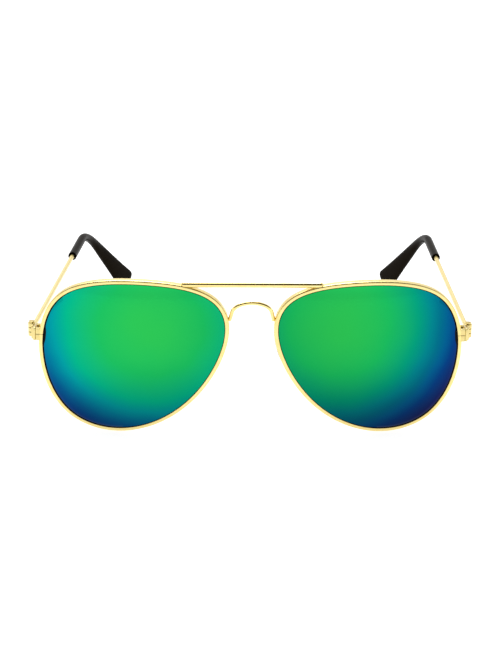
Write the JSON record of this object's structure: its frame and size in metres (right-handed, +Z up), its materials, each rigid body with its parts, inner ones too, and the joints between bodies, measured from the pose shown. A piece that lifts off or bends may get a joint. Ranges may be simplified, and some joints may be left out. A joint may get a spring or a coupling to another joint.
{
  "type": "aviator sunglasses",
  "caption": "Wire-framed sunglasses with teardrop mirrored lenses, a straight brow bar, an arched bridge, folding temples with plastic tips and swivelling nose pads.",
  "frame": {"origin": "on the surface that the sunglasses stand on, in the middle of their footprint with the temples open", "axes": "+X to the wearer's left, +Y back along the temples, +Z up"},
  "size_m": [0.1406, 0.1564, 0.0518],
  "materials": {
    "gold_frame": "polished gold plating",
    "screw": "polished, slotted head",
    "mirror_lens": "green to blue mirror coating",
    "temple_tip": "glossy black-brown",
    "nose_pad": "clear soft plastic"
  },
  "bodies": {
    "front": {"brow_bar": "gold_frame", "bridge": "gold_frame", "eyewire_left": "gold_frame", "lens_left": "mirror_lens", "rim_lock_upper_left": "gold_frame", "rim_lock_lower_left": "gold_frame", "rim_lock_screw_left": "screw", "endpiece_left": "gold_frame", "front_hinge_left": "gold_frame", "hinge_screw_left": "screw", "pad_arm_left": "gold_frame", "pad_box_left": "gold_frame", "pad_screw_left": "screw", "eyewire_right": "gold_frame", "lens_right": "mirror_lens", "rim_lock_upper_right": "gold_frame", "rim_lock_lower_right": "gold_frame", "rim_lock_screw_right": "screw", "endpiece_right": "gold_frame", "front_hinge_right": "gold_frame", "hinge_screw_right": "screw", "pad_arm_right": "gold_frame", "pad_box_right": "gold_frame", "pad_screw_right": "screw"},
    "temple_left": {"temple_hinge_left": "gold_frame", "temple_wire_left": "gold_frame", "temple_tip_left": "temple_tip"},
    "pad_left": {"nose_pad_left": "nose_pad"},
    "temple_right": {"temple_hinge_right": "gold_frame", "temple_wire_right": "gold_frame", "temple_tip_right": "temple_tip"},
    "pad_right": {"nose_pad_right": "nose_pad"}
  },
  "joints": [
    {"name": "temple_fold_left", "type": "hinge", "parent": "front", "child": "temple_left", "pos_m": [0.06859, -0.06513, 0.0322], "axis": [0, 0, 1], "range_deg": [0, 86.5]},
    {"name": "temple_fold_right", "type": "hinge", "parent": "front", "child": "temple_right", "pos_m": [-0.06859, -0.06513, 0.0322], "axis": [0, 0, -1], "range_deg": [-4.9, 68.2]},
    {"name": "nose_pad_swivel_left", "type": "hinge", "parent": "front", "child": "pad_left", "pos_m": [0.0121, -0.06951, 0.02884], "axis": [0.4755, 0.866, 0.1545], "range_deg": [-8, 8]},
    {"name": "nose_pad_swivel_right", "type": "hinge", "parent": "front", "child": "pad_right", "pos_m": [-0.0121, -0.06951, 0.02884], "axis": [-0.4755, 0.866, 0.1545], "range_deg": [-8, 8]}
  ]
}
